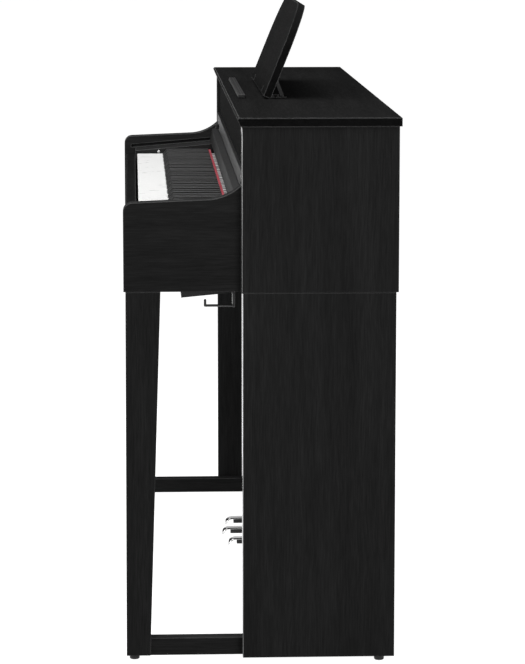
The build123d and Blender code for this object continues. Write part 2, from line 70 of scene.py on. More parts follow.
def soft_light(name, place, aim, size, power):
    """Rectangular softbox that the camera itself does not see."""
    lamp = bpy.data.lights.new(name, "AREA")
    lamp.shape = "RECTANGLE"
    lamp.size, lamp.size_y = size
    lamp.energy = power
    lit = put(name, lamp)
    lit.location = place
    lit.rotation_mode = "QUATERNION"
    lit.rotation_quaternion = (Vector(aim) - Vector(place)).to_track_quat("-Z", "Y")
    lit.visible_camera = False
    return lit


def set_lights():
    soft_light("overhead_softbox", (0.3, -0.7, 3.2), (0.0, -0.1, 0.7), (3.0, 2.2), 112)
    soft_light("front_fill", (1.3, -3.8, 0.9), (0.6, 0.0, 0.6), (1.3, 4.6), 92)
    soft_light("side_fill", (4.4, 1.4, 1.6), (0.7, 0.1, 0.5), (1.6, 2.2), 46)
    soft_light("pedal_card", (-0.6, 0.08, 0.3), (0.5, 0.08, 0.3), (0.5, 0.4), 0.42)
    soft_light("back_fill", (-1.6, 3.4, 1.9), (0.0, 0.2, 0.6), (2.2, 1.6), 40)


def set_world():
    """White behind the object, and a dim even grey in everything that it lights."""
    world = bpy.data.worlds.new("studio")
    world.use_nodes = True
    bpy.context.scene.world = world
    tree = world.node_tree
    tree.nodes.clear()
    path = tree.nodes.new("ShaderNodeLightPath")
    seen = tree.nodes.new("ShaderNodeBackground")
    seen.inputs["Color"].default_value = (1, 1, 1, 1)
    dim = tree.nodes.new("ShaderNodeBackground")
    dim.inputs["Color"].default_value = (0.05, 0.05, 0.052, 1)
    mix = tree.nodes.new("ShaderNodeMixShader")
    out = tree.nodes.new("ShaderNodeOutputWorld")
    tree.links.new(path.outputs["Is Camera Ray"], mix.inputs["Fac"])
    tree.links.new(dim.outputs[0], mix.inputs[1])
    tree.links.new(seen.outputs[0], mix.inputs[2])
    tree.links.new(mix.outputs[0], out.inputs["Surface"])
    bpy.context.scene.view_settings.view_transform = "Standard"


def set_floor():
    """Pale sweep under the piano."""
    mesh = bpy.data.meshes.new("floor")
    reach = 150
    corners = [(-reach, -reach, 0), (reach, -reach, 0), (reach, reach, 0), (-reach, reach, 0)]
    mesh.from_pydata(corners, [], [(0, 1, 2, 3)])
    floor = put("floor", mesh)
    material = bpy.data.materials.new("studio_floor")
    material.use_nodes = True
    shader = material.node_tree.nodes["Principled BSDF"]
    shader.inputs["Base Color"].default_value = (0.4, 0.4, 0.4, 1)
    shader.inputs["Roughness"].default_value = 0.9
    shader.inputs["Specular IOR Level"].default_value = 0
    shader.inputs["Emission Color"].default_value = (1, 1, 1, 1)
    shader.inputs["Emission Strength"].default_value = 1.0
    mesh.materials.append(material)
    floor.visible_diffuse = False


# --- finishes -------------------------------------------------------------

class Finish:
    """A material being built up: its tree, and the shader that ends it."""

    def __init__(self, name, **shader):
        self.material = bpy.data.materials.new(name)
        self.material.use_nodes = True
        self.tree = self.material.node_tree
        self.shader = self.tree.nodes["Principled BSDF"]
        for socket, value in shader.items():
            self.shader.inputs[socket.replace("_", " ")].default_value = value

    def node(self, kind, **values):
        made = self.tree.nodes.new("ShaderNode" + kind)
        for socket, value in values.items():
            made.inputs[socket.replace("_", " ")].default_value = value
        return made

    def join(self, output, socket):
        self.tree.links.new(output, socket)

    def place(self, stretch=(1, 1, 1), sway=0.0, sway_scale=3.0):
        """Object coordinates, swayed a little and then stretched along the grain."""
        here = self.node("TexCoord").outputs["Object"]
        if sway:
            wander = self.node("TexNoise", Scale=sway_scale, Detail=2.0)
            self.join(here, wander.inputs["Vector"])
            centred = self.node("VectorMath")
            centred.operation = "SUBTRACT"
            self.join(wander.outputs["Color"], centred.inputs[0])
            centred.inputs[1].default_value = (0.5, 0.5, 0.5)
            scaled = self.node("VectorMath")
            scaled.operation = "SCALE"
            scaled.inputs["Scale"].default_value = sway
            self.join(centred.outputs[0], scaled.inputs[0])
            moved = self.node("VectorMath")
            self.join(here, moved.inputs[0])
            self.join(scaled.outputs[0], moved.inputs[1])
            here = moved.outputs[0]
        mapping = self.node("Mapping")
        mapping.inputs["Scale"].default_value = stretch
        self.join(here, mapping.inputs["Vector"])
        return mapping.outputs["Vector"]

    def noise(self, where, scale, detail=3.0, rough=0.55):
        made = self.node("TexNoise", Scale=scale, Detail=detail, Roughness=rough)
        self.join(where, made.inputs["Vector"])
        return made.outputs["Fac"]

    def cells(self, where, scale, feature="F1", randomness=1.0):
        made = self.node("TexVoronoi", Scale=scale, Randomness=randomness)
        made.feature = feature
        self.join(where, made.inputs["Vector"])
        return made.outputs["Distance"]

    def remap(self, value, low, high, to_low=0.0, to_high=1.0):
        made = self.node("MapRange")
        made.inputs["From Min"].default_value = low
        made.inputs["From Max"].default_value = high
        made.inputs["To Min"].default_value = to_low
        made.inputs["To Max"].default_value = to_high
        self.join(value, made.inputs["Value"])
        return made.outputs["Result"]

    def combine(self, first, second, share=0.5):
        """Weighted sum of two patterns."""
        made = self.node("Mix")
        made.data_type = "FLOAT"
        made.inputs["Factor"].default_value = share
        self.join(first, made.inputs["A"])
        self.join(second, made.inputs["B"])
        return made.outputs["Result"]

    def tones(self, value, *stops):
        """Colour from a pattern, by (position, colour) stops."""
        ramp = self.node("ValToRGB")
        band = ramp.color_ramp
        while len(band.elements) < len(stops):
            band.elements.new(0.5)
        for element, (position, colour) in zip(band.elements, stops):
            element.position = position
            element.color = (*colour, 1)
        self.join(value, ramp.inputs["Fac"])
        self.join(ramp.outputs["Color"], self.shader.inputs["Base Color"])

    def roughness(self, value, low, high):
        self.join(self.remap(value, 0.3, 0.7, low, high), self.shader.inputs["Roughness"])

    def painted_edge_highlight(self, reach, colour):
        """Paler arrises along every edge: a painted highlight mixed into the base colour."""
        rounded = self.node("Bevel", Radius=reach)
        flat = self.node("NewGeometry")
        turn = self.node("VectorMath")
        turn.operation = "DOT_PRODUCT"
        self.join(rounded.outputs["Normal"], turn.inputs[0])
        self.join(flat.outputs["True Normal"], turn.inputs[1])
        mask = self.remap(turn.outputs["Value"], 0.995, 0.86)
        under = self.shader.inputs["Base Color"].links[0].from_socket
        blend = self.node("Mix")
        blend.data_type = "RGBA"
        tint, first, second = (
            next(s for s in blend.inputs if s.identifier == name)
            for name in ("Factor_Float", "A_Color", "B_Color"))
        self.join(mask, tint)
        self.join(under, first)
        second.default_value = (*colour, 1)
        result = next(s for s in blend.outputs if s.identifier == "Result_Color")
        self.join(result, self.shader.inputs["Base Color"])

    def relief(self, *layers):
        """Bump from (pattern, strength, depth in metres) layers, the finest last."""
        normal = None
        for pattern, strength, depth in layers:
            bump = self.node("Bump", Strength=strength, Distance=depth)
            self.join(pattern, bump.inputs["Height"])
            if normal is not None:
                self.join(normal, bump.inputs["Normal"])
            normal = bump.outputs["Normal"]
        self.join(normal, self.shader.inputs["Normal"])


def grey(level):
    return (level, level, level)


def woodgrain_foil(name, along, painted_light_tone, sheen, matt):
    """Black foil embossed with open grain that runs along one axis."""
    foil = Finish(name, Specular_IOR_Level=sheen)
    stretch = [1.0, 1.0, 1.0]
    stretch["XYZ".index(along)] = 0.055
    pores = foil.noise(foil.place(stretch, 0.012, 5.0), 430, 3.0, 0.6)
    flare = foil.noise(foil.place(stretch, 0.05, 2.4), 75, 2.0, 0.5)
    broad = foil.noise(foil.place(stretch, 0.09, 1.6), 17, 2.0, 0.5)
    grain = foil.combine(pores, foil.combine(flare, broad, 0.45), 0.5)
    # painted_light_tone scales the foil's colour per copy: painted shade where it is below 1, painted
    # light where it is above 1.
    foil.tones(
        grain, (0.36, grey(0.0085 * painted_light_tone)), (0.5, grey(0.0125 * painted_light_tone)), (0.64, grey(0.0180 * painted_light_tone)))
    foil.roughness(pores, matt + 0.06, matt - 0.06)
    # Pale grey painted highlight along every edge of the foil.
    foil.painted_edge_highlight(0.002, grey(0.15))
    foil.relief((flare, 0.2, 0.0004), (pores, 0.45, 0.00022))
    return foil.material


def painted_board():
    board = Finish("painted_board", Specular_IOR_Level=0.2)
    fibre = board.noise(board.place((1, 1, 0.8)), 620, 4.0, 0.65)
    cloud = board.noise(board.place(), 9, 3.0)
    board.tones(board.combine(fibre, cloud, 0.4), (0.35, grey(0.008)), (0.65, grey(0.019)))
    board.roughness(cloud, 0.62, 0.74)
    board.relief((fibre, 0.4, 0.00025))
    return board.material


def gloss_lacquer():
    lacquer = Finish("gloss_lacquer", Coat_Weight=0.15, Coat_Roughness=0.3, Specular_IOR_Level=0.25)
    peel = lacquer.noise(lacquer.place(), 190, 2.0)
    haze = lacquer.noise(lacquer.place(sway=0.02), 22, 4.0)
    lacquer.tones(haze, (0.3, grey(0.009)), (0.7, grey(0.015)))
    lacquer.roughness(haze, 0.5, 0.6)
    lacquer.relief((peel, 0.02, 0.0001))
    return lacquer.material


def moulded_plastic():
    plastic = Finish("moulded_plastic", Specular_IOR_Level=0.35)
    spark = plastic.noise(plastic.place(), 1500, 2.0, 0.6)
    cloud = plastic.noise(plastic.place(), 35, 3.0)
    plastic.tones(plastic.combine(spark, cloud, 0.5), (0.35, grey(0.010)), (0.65, grey(0.022)))
    plastic.roughness(spark, 0.42, 0.56)
    plastic.relief((spark, 0.35, 0.00012))
    return plastic.material


def red_felt():
    felt = Finish("red_felt", Specular_IOR_Level=0.1, Sheen_Weight=0.6, Sheen_Roughness=0.5)
    felt.shader.inputs["Sheen Tint"].default_value = (1.0, 0.45, 0.5, 1)
    fibre = felt.noise(felt.place((0.5, 1, 1), 0.004, 300), 1100, 5.0, 0.7)
    clump = felt.noise(felt.place(), 160, 3.0)
    felt.tones(felt.combine(fibre, clump, 0.45),
               (0.32, (0.16, 0.008, 0.016)), (0.5, (0.33, 0.02, 0.035)), (0.68, (0.52, 0.06, 0.09)))
    felt.roughness(fibre, 0.85, 1.0)
    felt.relief((clump, 0.4, 0.0006), (fibre, 0.8, 0.0005))
    return felt.material


def key_plastic(name, dark, light, rough, relief):
    key = Finish(name, Specular_IOR_Level=0.45)
    mottle = key.noise(key.place((1, 0.4, 1)), 60, 3.0)
    skin = key.noise(key.place((1, 0.5, 1)), 900, 3.0)
    key.tones(key.combine(mottle, skin, 0.35), (0.35, dark), (0.65, light))
    key.roughness(mottle, rough - 0.04, rough + 0.06)
    key.relief((skin, relief, 0.00008))
    return key.material


def metal(name, dark, light, rough, brushed, relief):
    """Bare or plated metal, with fine marks that a small scale along an axis draws out."""
    plate = Finish(name, Metallic=1.0)
    marks = plate.noise(plate.place(brushed), 700, 3.0, 0.6)
    cloud = plate.noise(plate.place(), 45, 3.0)
    plate.tones(plate.combine(marks, cloud, 0.5), (0.35, grey(dark)), (0.65, grey(light)))
    plate.roughness(marks, rough, rough * 1.7)
    plate.relief((marks, relief, 0.00004))
    return plate.material


def coated_steel():
    steel = Finish("coated_steel", Specular_IOR_Level=0.5)
    grit = steel.noise(steel.place(), 1100, 3.0, 0.6)
    wear = steel.noise(steel.place(), 70, 4.0)
    steel.tones(steel.combine(grit, wear, 0.5), (0.35, grey(0.009)), (0.68, grey(0.03)))
    steel.roughness(wear, 0.3, 0.46)
    steel.relief((grit, 0.3, 0.0001))
    return steel.material


def solder_mask():
    mask = Finish("solder_mask", Specular_IOR_Level=0.5)
    tracks = mask.cells(mask.place(), 210, "DISTANCE_TO_EDGE", 0.35)
    weave = mask.noise(mask.place(), 1300, 2.0)
    mask.tones(mask.remap(tracks, 0.02, 0.12), (0.0, (0.05, 0.21, 0.11)), (1.0, (0.012, 0.085, 0.04)))
    mask.roughness(weave, 0.3, 0.42)
    mask.relief((tracks, 0.3, 0.0001), (weave, 0.2, 0.00005))
    return mask.material


def edge_banding():
    """Glossy strip glued along the front edge of each side board."""
    band = Finish("edge_banding", Specular_IOR_Level=0.8, Coat_Weight=1.0, Coat_Roughness=0.1)
    ripple = band.noise(band.place((1, 1, 0.2)), 120, 2.0)
    band.tones(ripple, (0.3, grey(0.016)), (0.7, grey(0.03)))
    band.roughness(ripple, 0.16, 0.24)
    band.relief((ripple, 0.06, 0.0001))
    return band.material


def bare_arris():
    """Pale grey painted highlight along the front corner of each side board, under a real gloss."""
    arris = Finish("bare_arris", Specular_IOR_Level=0.6)
    highlight_streaks = arris.noise(arris.place((1, 1, 0.1)), 260, 3.0)
    # The grey 0.26 to 0.38 is a painted highlight, far paler than the black board it edges.
    arris.tones(highlight_streaks, (0.3, grey(0.26)), (0.7, grey(0.38)))
    arris.roughness(highlight_streaks, 0.2, 0.34)
    arris.relief((highlight_streaks, 0.08, 0.0001))
    return arris.material


def speaker_cloth():
    cloth = Finish("speaker_cloth", Specular_IOR_Level=0.1)
    weave = cloth.cells(cloth.place(), 1500, "F1", 0.1)
    cloth.tones(cloth.remap(weave, 0.1, 0.7), (0.0, grey(0.012)), (1.0, grey(0.003)))
    cloth.roughness(weave, 0.85, 1.0)
    cloth.relief((weave, 0.6, 0.0002))
    return cloth.material


def printed_ink():
    ink = Finish("printed_ink", Specular_IOR_Level=0.3)
    dots = ink.noise(ink.place(), 2600, 2.0)
    ink.tones(dots, (0.3, grey(0.42)), (0.7, grey(0.6)))
    ink.roughness(dots, 0.5, 0.65)
    ink.relief((dots, 0.2, 0.00002))
    return ink.material


def soft_rubber():
    rubber = Finish("soft_rubber", Specular_IOR_Level=0.25)
    skin = rubber.noise(rubber.place(), 1200, 3.0)
    rubber.tones(skin, (0.3, grey(0.012)), (0.7, grey(0.026)))
    rubber.roughness(skin, 0.65, 0.82)
    rubber.relief((skin, 0.4, 0.0001))
    return rubber.material


# One real foil in three copies: the across copy is painted darker, as painted shade on the lid and the
# boards whose grain runs across. The deep and upright copies are painted lighter, as painted light on the
# arms, legs and sides.
FOIL_ACROSS_PAINTED_SHADE = woodgrain_foil("woodgrain_foil_across", "X", 0.62, 0.02, 0.88)
FOIL_DEEP_PAINTED_LIGHT = woodgrain_foil("woodgrain_foil_deep", "Y", 1.6, 0.05, 0.56)
FOIL_UPRIGHT_PAINTED_LIGHT = woodgrain_foil("woodgrain_foil_upright", "Z", 1.75, 0.05, 0.56)
BOARD = painted_board()
LACQUER = gloss_lacquer()
PLASTIC = moulded_plastic()
FELT = red_felt()
WHITE_KEY = key_plastic("white_key_plastic", (0.87, 0.87, 0.86), (0.9, 0.9, 0.89), 0.3, 0.04)
BLACK_KEY = key_plastic("black_key_plastic", grey(0.010), grey(0.019), 0.40, 0.35)
CHROME = metal("polished_chrome", 0.52, 0.68, 0.12, (0.08, 1, 1), 0.05)
STEEL = metal("brushed_steel", 0.32, 0.55, 0.26, (0.05, 1, 1), 0.3)
ZINC = metal("zinc_plate", 0.4, 0.62, 0.3, (1, 1, 1), 0.2)
COATED = coated_steel()
MASK = solder_mask()
BANDING = edge_banding()
PAINTED_ARRIS_HIGHLIGHT = bare_arris()
CLOTH = speaker_cloth()
INK = printed_ink()
RUBBER = soft_rubber()

KEYS_THAT_MOVE = ("c", "c_sharp", "d", "d_sharp", "e", "f", "f_sharp", "g")

NODE_FINISH = {
    FOIL_ACROSS_PAINTED_SHADE: ["lid", "key_slip", "front_board", "stand_back_board", "music_rest", "key_cover",
                  "pedal_box"],
    FOIL_DEEP_PAINTED_LIGHT: ["arm_left", "arm_right", "cheek_block_left", "cheek_block_right",
                "floor_rail_left", "floor_rail_right"],
    FOIL_UPRIGHT_PAINTED_LIGHT: ["upper_side_left", "upper_side_right", "stand_side_left", "stand_side_right",
                   "front_leg_left", "front_leg_right"],
    BOARD: ["key_bed", "back_board", "cover_rail_left", "cover_rail_right"],
    LACQUER: ["control_panel", "key_cover_lip"],
    PLASTIC: ["under_tray", "phones_socket", "music_ledge", "volume_knob", "power_button",
              "mains_inlet", "glides", "key_frame"],
    FELT: ["felt_strip", "stop_felt"],
    WHITE_KEY: ["white_keys"] + ["white_key_" + k for k in KEYS_THAT_MOVE if "sharp" not in k],
    BLACK_KEY: ["black_keys"] + ["black_key_" + k for k in KEYS_THAT_MOVE if "sharp" in k],
    CHROME: ["pedal_left", "pedal_middle", "pedal_right"],
    COATED: ["stay_left", "stay_right", "stay_bases", "rest_hinges", "assembly_screws", "speakers",
             "headphone_hanger"],
    STEEL: ["key_pivot_rod", "pedal_axle"],
    MASK: ["main_board", "sensor_strip"],
    ZINC: ["power_supply"],
}


def finish_frame():
    """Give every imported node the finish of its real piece."""
    for material, names in NODE_FINISH.items():
        for name in names:
            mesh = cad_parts[name].data
            mesh.materials.clear()
            mesh.materials.append(material)


# --- making pieces --------------------------------------------------------

def piece(name, mesh, body, material=None):
    """A finished mesh as a piece of the object, riding on its body."""
    made = put(name, mesh)
    if material is not None:
        mesh.materials.clear()
        mesh.materials.append(material)
    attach(made, body)
    return made


def mesh_of(name, build):
    """Mesh filled by a bmesh function, with its faces turned outwards."""
    mesh = bpy.data.meshes.new(name)
    shape = bmesh.new()
    build(shape)
    bmesh.ops.recalc_face_normals(shape, faces=shape.faces)
    shape.to_mesh(mesh)
    shape.free()
    return mesh


def smooth(mesh):
    for face in mesh.polygons:
        face.use_smooth = True


def middle_of(name):
    """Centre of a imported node's box."""
    low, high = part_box(name)
    return (low + high) / 2


def lofted(shape, rings):
    """Closed skin through rings of the same number of points, capped at both ends."""
    loops = [[shape.verts.new(point) for point in ring] for ring in rings]
    count = len(loops[0])
    for front, rear in zip(loops, loops[1:]):
        for index in range(count):
            after = (index + 1) % count
            shape.faces.new((front[index], front[after], rear[after], rear[index]))
    shape.faces.new(loops[0])
    shape.faces.new(list(reversed(loops[-1])))


def eased_block(shape, low, high, edge):
    """Block between two corners with rounded edges."""
    made = bmesh.ops.create_cube(shape, size=1)["verts"]
    low, high = Vector(low), Vector(high)
    for vert in made:
        vert.co = [(a + b) / 2 + c * (b - a) for a, b, c in zip(low, high, vert.co)]
    edges = list({joint for vert in made for joint in vert.link_edges})
    bmesh.ops.bevel(shape, geom=edges, offset=edge, segments=3, profile=0.6, affect="EDGES")


# --- trees that repeat a small part ---------------------------------------

class Tree:
    """A geometry tree with named inputs."""

    def __init__(self, name, inputs):
        self.tree = bpy.data.node_groups.new(name, "GeometryNodeTree")
        face = self.tree.interface
        face.new_socket("Geometry", in_out="INPUT", socket_type="NodeSocketGeometry")
        for label, (kind, value) in inputs.items():
            socket = face.new_socket(label, in_out="INPUT", socket_type="NodeSocket" + kind)
            if value is not None:
                socket.default_value = value
        face.new_socket("Geometry", in_out="OUTPUT", socket_type="NodeSocketGeometry")
        self.given = self.tree.nodes.new("NodeGroupInput").outputs
        self.result = self.tree.nodes.new("NodeGroupOutput").inputs

    def node(self, kind, settings=None, **sockets):
        made = self.tree.nodes.new(kind)
        for setting, value in (settings or {}).items():
            setattr(made, setting, value)
        for socket, value in sockets.items():
            target = made.inputs[socket.replace("_", " ")]
            if isinstance(value, bpy.types.NodeSocket):
                self.tree.links.new(value, target)
            else:
                target.default_value = value
        return made

    def math(self, operation, first, second):
        made = self.node("ShaderNodeMath", {"operation": operation})
        for value, socket in ((first, made.inputs[0]), (second, made.inputs[1])):
            if isinstance(value, bpy.types.NodeSocket):
                self.tree.links.new(value, socket)
            else:
                socket.default_value = value
        return made.outputs[0]

    def vector(self, x, y, z):
        return self.node("ShaderNodeCombineXYZ", X=x, Y=y, Z=z).outputs[0]

    def joined(self, *parts):
        made = self.node("GeometryNodeJoinGeometry")
        for part in parts:
            self.tree.links.new(part, made.inputs["Geometry"])
        return made.outputs["Geometry"]

    def raised(self, part, lift):
        up = self.vector(0.0, 0.0, lift)
        return self.node("GeometryNodeTransform", Geometry=part, Translation=up).outputs[0]

    def finished(self, part, material):
        return self.node("GeometryNodeSetMaterial", Geometry=part, Material=material).outputs[0]

    def end(self, part):
        self.tree.links.new(part, self.result["Geometry"])


def repeat_facing(tree, points, part):
    """The part on every point, turned to face the tree's Facing direction."""
    turn = tree.node("FunctionNodeAlignRotationToVector", {"axis": "Z"}, Vector=tree.given["Facing"])
    spread = tree.node("GeometryNodeInstanceOnPoints", Points=points, Instance=part,
                       Rotation=turn.outputs["Rotation"])
    return tree.node("GeometryNodeRealizeInstances", Geometry=spread.outputs[0]).outputs[0]


def screw_tree():
    """Pan-head screws with a cross recess, one on each point."""
    tree = Tree("screws", {
        "Facing": ("Vector", (0, 0, 1)), "Head Radius": ("Float", 0.0035),
        "Head Height": ("Float", 0.0018), "Finish": ("Material", None)})
    radius, height = tree.given["Head Radius"], tree.given["Head Height"]
    rim = tree.node("GeometryNodeMeshCylinder", Vertices=20, Radius=radius,
                    Depth=tree.math("MULTIPLY", height, 0.55)).outputs["Mesh"]
    rim = tree.raised(rim, tree.math("MULTIPLY", height, 0.275))
    dome = tree.node("GeometryNodeMeshCone", Vertices=20, Radius_Top=tree.math("MULTIPLY", radius, 0.66),
                     Radius_Bottom=radius, Depth=tree.math("MULTIPLY", height, 0.45)).outputs["Mesh"]
    dome = tree.raised(dome, tree.math("MULTIPLY", height, 0.55))
    long_side = tree.math("MULTIPLY", radius, 1.15)
    short_side = tree.math("MULTIPLY", radius, 0.26)
    deep = tree.math("MULTIPLY", height, 1.1)
    bars = [
        tree.node("GeometryNodeMeshCube", Size=tree.vector(*sides)).outputs["Mesh"]
        for sides in ((long_side, short_side, deep), (short_side, long_side, deep))]
    bars = [tree.raised(bar, height) for bar in bars]
    body = tree.node("GeometryNodeMeshBoolean", {"operation": "UNION", "solver": "EXACT"})
    for part in (rim, dome):
        tree.tree.links.new(part, body.inputs["Mesh 2"])
    cut = tree.node("GeometryNodeMeshBoolean", {"operation": "DIFFERENCE", "solver": "EXACT"},
                    Mesh_1=body.outputs["Mesh"])
    for bar in bars:
        tree.tree.links.new(bar, cut.inputs["Mesh 2"])
    heads = repeat_facing(tree, tree.given["Geometry"], cut.outputs["Mesh"])
    tree.end(tree.finished(heads, tree.given["Finish"]))
    return tree.tree


def cap_tree():
    """Round push-in caps with a raised rim, one on each point."""
    tree = Tree("caps", {
        "Facing": ("Vector", (0, 0, 1)), "Cap Radius": ("Float", 0.009), "Cap Height": ("Float", 0.0012),
        "Finish": ("Material", None)})
    radius, height = tree.given["Cap Radius"], tree.given["Cap Height"]
    rim = tree.node("GeometryNodeMeshCone", Vertices=28, Radius_Top=tree.math("MULTIPLY", radius, 0.9),
                    Radius_Bottom=radius, Depth=height).outputs["Mesh"]
    boss = tree.node("GeometryNodeMeshCone", Vertices=20, Radius_Top=tree.math("MULTIPLY", radius, 0.3),
                     Radius_Bottom=tree.math("MULTIPLY", radius, 0.42),
                     Depth=tree.math("MULTIPLY", height, 0.5)).outputs["Mesh"]
    caps = repeat_facing(tree, tree.given["Geometry"], tree.joined(rim, tree.raised(boss, height)))
    tree.end(tree.finished(caps, tree.given["Finish"]))
    return tree.tree


def grille_tree():
    """Staggered punched holes over a round grille: a low rim round a patch of cloth."""
    tree = Tree("grille_holes", {
        "Facing": ("Vector", (0, 0, -1)), "Grille Radius": ("Float", 0.054), "Pitch": ("Float", 0.005),
        "Hole Radius": ("Float", 0.0017), "Rim Height": ("Float", 0.0004),
        "Finish": ("Material", None), "Cloth": ("Material", None)})
    span = tree.math("MULTIPLY", tree.given["Grille Radius"], 2.0)
    count = tree.math("ADD", tree.math("FLOOR", tree.math("DIVIDE", span, tree.given["Pitch"]), 0.0), 1.0)
    grid = tree.node("GeometryNodeMeshGrid", Size_X=span, Size_Y=span, Vertices_X=count, Vertices_Y=count)
    index = tree.node("GeometryNodeInputIndex").outputs[0]
    column = tree.math("FLOOR", tree.math("DIVIDE", index, count), 0.0)
    half_pitch = tree.math("MULTIPLY", tree.given["Pitch"], 0.5)
    step = tree.math("MULTIPLY", tree.math("MODULO", column, 2.0), half_pitch)
    shifted = tree.node("GeometryNodeSetPosition", Geometry=grid.outputs["Mesh"],
                        Offset=tree.vector(0.0, step, 0.0)).outputs[0]
    place = tree.node("GeometryNodeInputPosition").outputs[0]
    length = tree.node("ShaderNodeVectorMath", {"operation": "LENGTH"})
    tree.tree.links.new(place, length.inputs[0])
    outside = tree.node("FunctionNodeCompare", {"data_type": "FLOAT", "operation": "GREATER_THAN"})
    tree.tree.links.new(length.outputs["Value"], outside.inputs[0])
    tree.tree.links.new(tree.given["Grille Radius"], outside.inputs[1])
    kept = tree.node("GeometryNodeDeleteGeometry", {"domain": "POINT"}, Geometry=shifted,
                     Selection=outside.outputs[0]).outputs[0]
    rim = tree.node("GeometryNodeMeshCylinder", {"fill_type": "NONE"}, Vertices=8,
                    Radius=tree.given["Hole Radius"], Depth=tree.given["Rim Height"]).outputs["Mesh"]
    patch = tree.node("GeometryNodeMeshCircle", {"fill_type": "NGON"}, Vertices=8,
                      Radius=tree.given["Hole Radius"]).outputs["Mesh"]
    rim = tree.finished(rim, tree.given["Finish"])
    patch = tree.finished(patch, tree.given["Cloth"])
    rings = repeat_facing(tree, kept, tree.joined(rim, patch))
    centred = tree.node("GeometryNodeInstanceOnPoints", Points=tree.given["Geometry"], Instance=rings)
    tree.end(tree.node("GeometryNodeRealizeInstances", Geometry=centred.outputs[0]).outputs[0])
    return tree.tree


def grown(name, tree, places, body, slot, **values):
    """Run a tree on a set of points, and keep what it makes as one plain piece."""
    points = bpy.data.meshes.new(name + "_points")
    points.from_pydata([tuple(place) for place in places], [], [])
    holder = put(name + "_points", points)
    grow = holder.modifiers.new("grow", "NODES")
    grow.node_group = tree
    for socket in tree.interface.items_tree:
        label = socket.name.replace(" ", "_")
        if socket.in_out == "INPUT" and label in values:
            grow[socket.identifier] = values[label]
    depsgraph = bpy.context.evaluated_depsgraph_get()
    mesh = bpy.data.meshes.new_from_object(holder.evaluated_get(depsgraph), depsgraph=depsgraph)
    mesh.name = name
    holder.modifiers.remove(grow)
    bpy.data.objects.remove(holder)
    return piece(name, mesh, body)


SCREWS = screw_tree()
CAPS = cap_tree()
GRILLE_HOLES = grille_tree()


# --- pedals ---------------------------------------------------------------

# distance behind the tip, drop of the top, thickness, half width (all mm)
PEDAL_STATIONS = [
    (0.3, 11.0, 5.0, 4.5), (1.0, 8.0, 9.6, 7.8), (2.4, 5.0, 12.4, 9.8), (4.4, 3.0, 12.6, 11.0),
    (6.6, 1.8, 9.8, 11.6), (9.5, 1.0, 6.4, 11.9), (14, 0.6, 4.6, 11.9), (30, 0.25, 4.4, 11.6),
    (46, 0.15, 4.6, 11.0), (64, 0.1, 5.2, 10.2), (85, 0.1, 6.4, 9.4), (104, 0.1, 7.4, 8.8)]


def pedal_ring(x, tip, top, station):
    back, drop, thickness, half = (value * MM for value in station)
    ring = []
    for step in range(20):
        angle = 2 * pi * step / 20
        side, up = cos(angle), sin(angle)
        across = half * abs(side) ** 0.85 * (1 if side >= 0 else -1)
        crown = thickness / 2 * abs(up) ** 0.8 * (1 if up >= 0 else -0.72)
        ring.append((x + across, tip + back, top - drop - thickness / 2 + crown))
    return ring


def chrome_pedal(name):
    low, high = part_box(name)
    x = (low.x + high.x) / 2
    rings = [pedal_ring(x, low.y, high.z, station) for station in PEDAL_STATIONS]
    mesh = mesh_of(name + "_chrome", lambda shape: lofted(shape, rings))
    smooth(mesh)
    made = piece(name + "_chrome", mesh, name, CHROME)
    rounding = made.modifiers.new("rounding", "SUBSURF")
    rounding.levels = rounding.render_levels = 2
    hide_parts(name)
    lever_low = (x - 6 * MM, low.y + 17 * MM, high.z - 12.5 * MM)
    lever_high = (x + 6 * MM, low.y + 95 * MM, high.z - 4.4 * MM)
    lever = mesh_of(name + "_lever", lambda shape: eased_block(shape, lever_low, lever_high, 0.8 * MM))
    piece(name + "_lever", lever, name, COATED)


# --- screws, caps and small fittings --------------------------------------

def hinge_and_base_screws():
    _, lid_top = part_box("lid")
    _, hinge_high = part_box("rest_hinges")
    base_low, base_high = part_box("stay_bases")
    leaf = lid_top.z + 1.2 * MM
    hinge_x = hinge_high.x - 8 * MM
    places = [(side * hinge_x, hinge_high.y - ahead * MM, leaf) for side in (-1, 1) for ahead in (5, 13)]
    base_x = base_high.x - 7 * MM
    places += [(side * base_x, base_low.y + back * MM, leaf) for side in (-1, 1) for back in (1.8, 28)]
    grown("rest_fitting_screws", SCREWS, places, "stand", "steel",
          Facing=(0, 0, 1), Head_Radius=1.6 * MM, Head_Height=0.28 * MM, Finish=STEEL)


def hanger_screws():
    low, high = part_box("headphone_hanger")
    middle = (low.x + high.x) / 2
    plate_front = high.y - 4 * MM
    places = [(middle + side * 7 * MM, plate_front, high.z - 7 * MM) for side in (-1, 1)]
    grown("hanger_screws", SCREWS, places, "stand", "steel",
          Facing=(0, -1, 0), Head_Radius=2.6 * MM, Head_Height=1.4 * MM, Finish=COATED)


def cheek_screws():
    low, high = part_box("cheek_block_left")
    places = [(high.x, low.y + 49.6 * MM, high.z - 17 * MM)]
    grown("cheek_screw_left", SCREWS, places, "stand", "steel",
          Facing=(1, 0, 0), Head_Radius=2.8 * MM, Head_Height=1.1 * MM, Finish=CHROME)
    mirrored = [(-x, y, z) for x, y, z in places]
    grown("cheek_screw_right", SCREWS, mirrored, "stand", "steel",
          Facing=(-1, 0, 0), Head_Radius=2.8 * MM, Head_Height=1.1 * MM, Finish=CHROME)


